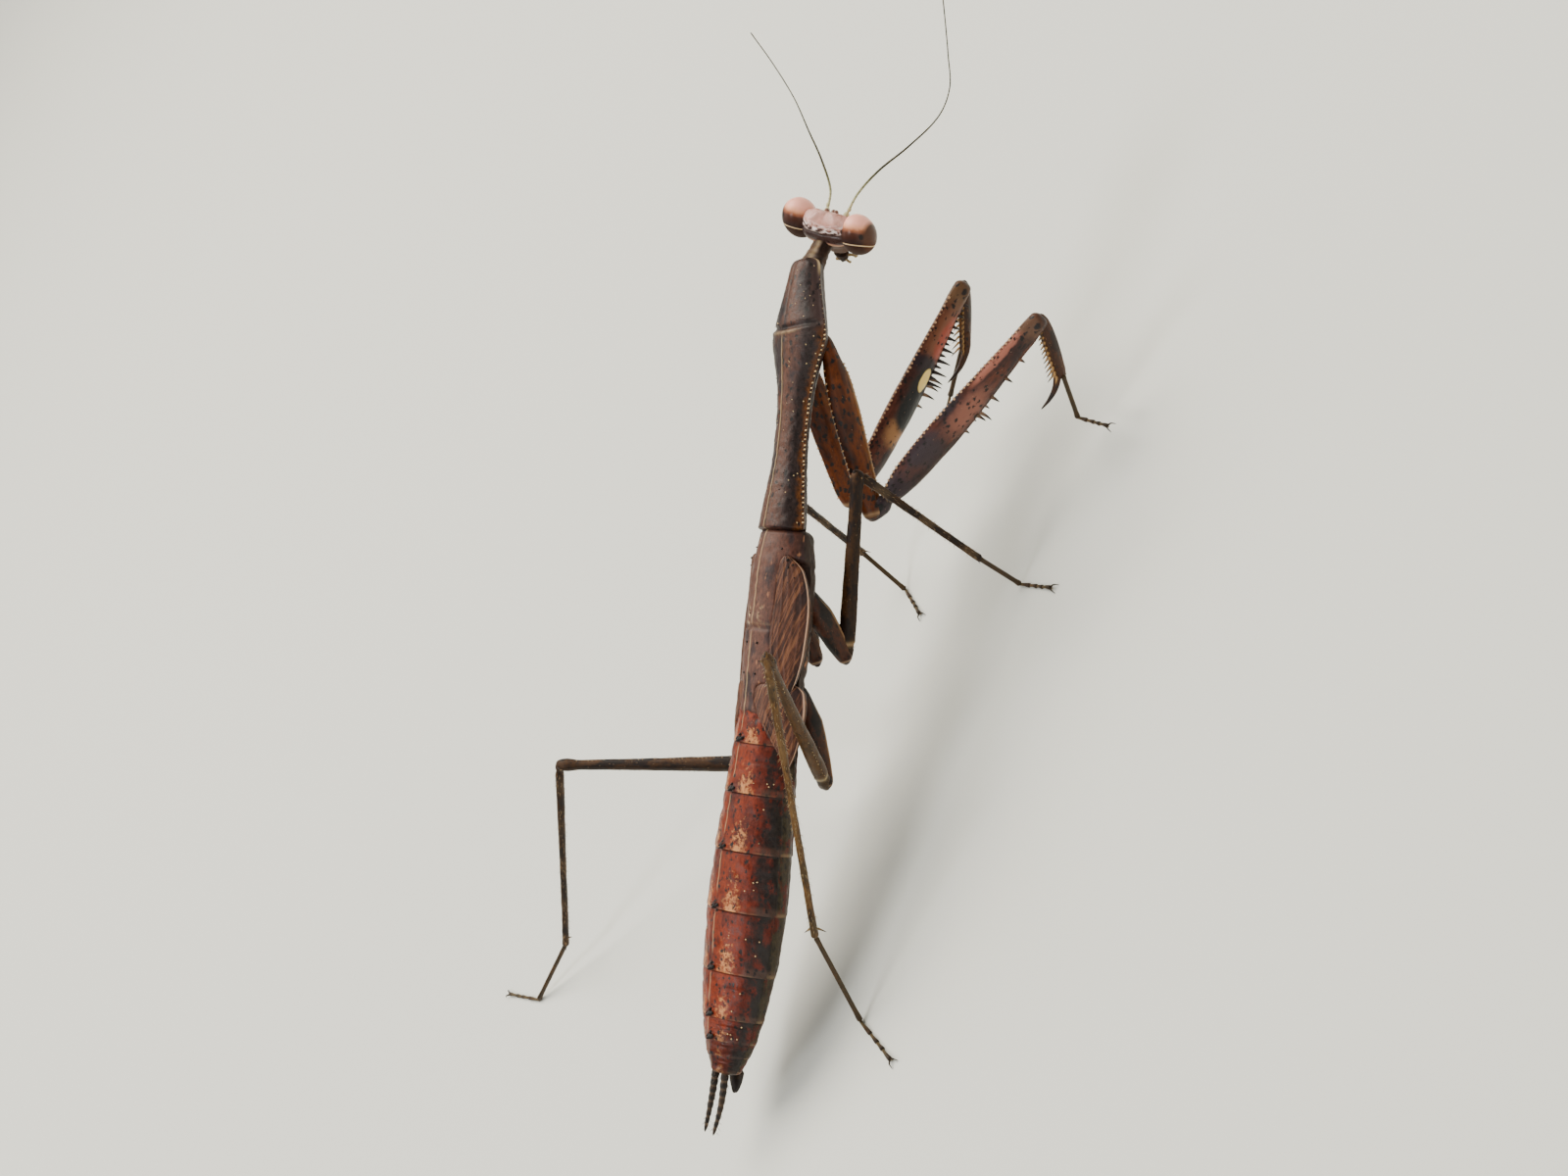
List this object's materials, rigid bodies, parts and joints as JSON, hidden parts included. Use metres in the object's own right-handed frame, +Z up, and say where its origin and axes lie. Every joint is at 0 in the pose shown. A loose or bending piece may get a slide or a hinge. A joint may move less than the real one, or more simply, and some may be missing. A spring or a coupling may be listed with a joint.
{
  "type": "praying mantis",
  "caption": "Life-size still model of a brown praying mantis nymph with wing pads, spiny grasping forelegs and long feelers, standing on its own feet.",
  "frame": {"origin": "on the floor, under the middle of the whole model's box, feelers and legs included", "axes": "+Z up from the floor that the feet stand on; the mantis faces -Y, its right side is -X"},
  "size_m": [0.0386, 0.061, 0.0225],
  "materials": {
    "pronotum": "dark purple-brown cuticle with a pale keel, black dots and a low sheen",
    "thorax": "brown cuticle with black dots and a pale keel",
    "abdomen": "brick-red cuticle with black dots and darker sides, low sheen",
    "wing_pad": "reddish-brown ribbed cuticle with a whitish outer edge",
    "head": "smooth pinkish-tan cuticle, glossy",
    "eye": "glossy compound eye, pink and copper above, dark behind",
    "antenna": "fine ringed feeler, olive-tan",
    "mouthparts": "dark brown cuticle",
    "fore_leg": "banded purple-brown and pink-red cuticle with pale grains and black spines",
    "middle_leg": "dark brown cuticle, finely grained",
    "hind_leg": "olive-tan cuticle, finely grained",
    "cercus": "dark ringed cuticle"
  },
  "bodies": {
    "root": {"pronotum_front": "pronotum", "pronotum_rear": "pronotum", "mesothorax": "thorax", "metathorax": "thorax", "right_forewing_pad": "wing_pad", "right_hindwing_pad": "wing_pad", "right_cercus": "cercus", "right_eye": "eye", "right_antenna": "antenna", "left_forewing_pad": "wing_pad", "left_hindwing_pad": "wing_pad", "left_cercus": "cercus", "left_eye": "eye", "left_antenna": "antenna", "abdomen_1": "abdomen", "abdomen_2": "abdomen", "abdomen_3": "abdomen", "abdomen_4": "abdomen", "abdomen_5": "abdomen", "abdomen_6": "abdomen", "abdomen_7": "abdomen", "abdomen_8": "abdomen", "abdomen_9": "abdomen", "subgenital_plate": "abdomen", "head": "head", "neck": "head", "mouthparts": "mouthparts", "right_fore_coxa": "fore_leg", "right_fore_femur": "fore_leg", "right_fore_tibia": "fore_leg", "right_fore_tarsus": "fore_leg", "right_middle_coxa": "middle_leg", "right_middle_femur": "middle_leg", "right_middle_tibia": "middle_leg", "right_middle_tarsus": "middle_leg", "right_hind_coxa": "hind_leg", "right_hind_femur": "hind_leg", "right_hind_tibia": "hind_leg", "right_hind_tarsus": "hind_leg", "left_fore_coxa": "fore_leg", "left_fore_femur": "fore_leg", "left_fore_tibia": "fore_leg", "left_fore_tarsus": "fore_leg", "left_middle_coxa": "middle_leg", "left_middle_femur": "middle_leg", "left_middle_tibia": "middle_leg", "left_middle_tarsus": "middle_leg", "left_hind_coxa": "hind_leg", "left_hind_femur": "hind_leg", "left_hind_tibia": "hind_leg", "left_hind_tarsus": "hind_leg"}
  },
  "joints": []
}
